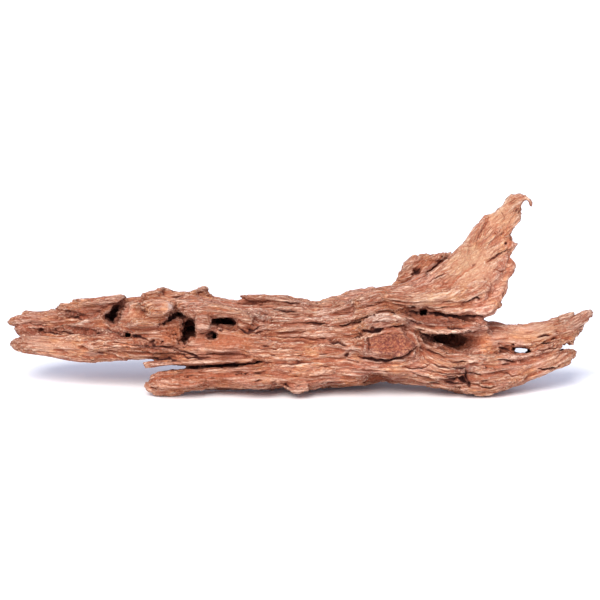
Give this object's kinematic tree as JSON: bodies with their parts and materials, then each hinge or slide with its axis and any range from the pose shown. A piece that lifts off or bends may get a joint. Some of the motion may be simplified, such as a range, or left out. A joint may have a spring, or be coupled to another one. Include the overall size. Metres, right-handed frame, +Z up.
{
  "type": "aquarium driftwood",
  "caption": "Long weathered driftwood with a raised fin-like limb, a forked end, a lower prong, hollows, a cut knot and deep grain.",
  "frame": {"origin": "centre of the bounding box in plan, at the surface that the wood lies on", "axes": "+X along the wood's length towards the end with the fin, -Y towards the side with the knot and the cave, +Z up as the wood lies"},
  "size_m": [0.438, 0.09, 0.145],
  "materials": {
    "wood": "matt, weathered and fibrous, reddish tan"
  },
  "bodies": {
    "root": {"driftwood": "wood"}
  },
  "joints": []
}
